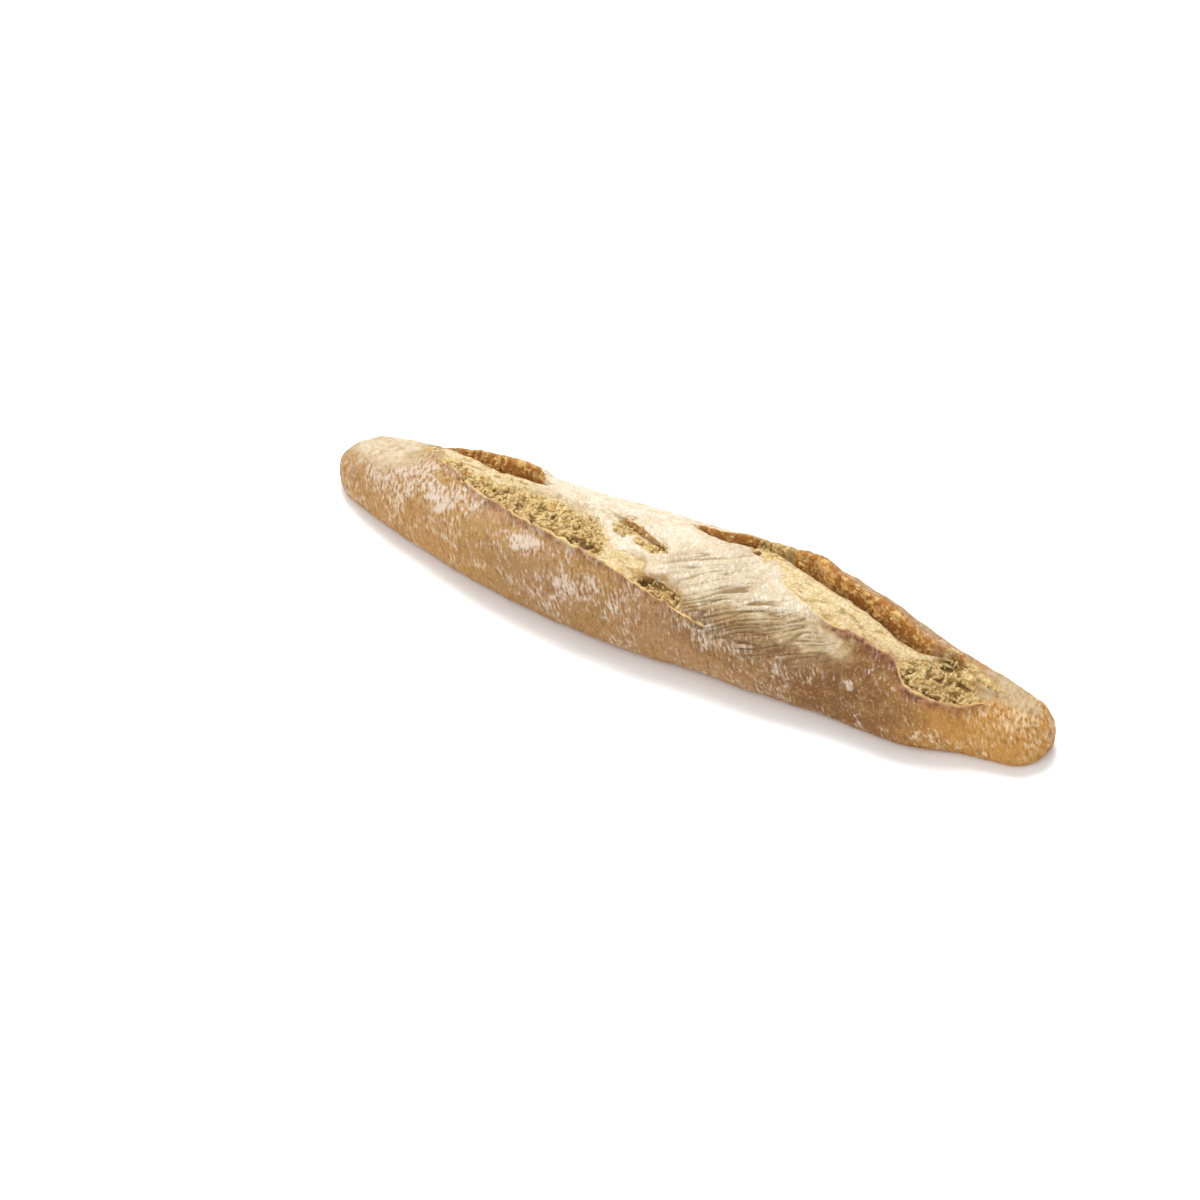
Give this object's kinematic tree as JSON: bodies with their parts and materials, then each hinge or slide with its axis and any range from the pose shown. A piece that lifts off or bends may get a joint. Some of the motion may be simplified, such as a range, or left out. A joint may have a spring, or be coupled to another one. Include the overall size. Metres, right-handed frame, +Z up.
{
  "type": "long bread loaf",
  "caption": "Long crusty bread loaf with tapered rounded ends, a flat sole and diagonal slashes opened into raised crust ears over torn crumb.",
  "frame": {"origin": "centre of the bounding box at the level of the sole, on the surface the loaf lies on", "axes": "+X along the loaf towards its narrower end, +Y across it towards the side its crust ears stand on, +Z up"},
  "size_m": [0.34, 0.0748, 0.0442],
  "materials": {
    "crust": "matte baked crust dusted with flour"
  },
  "bodies": {
    "root": {"loaf": "crust"}
  },
  "joints": []
}
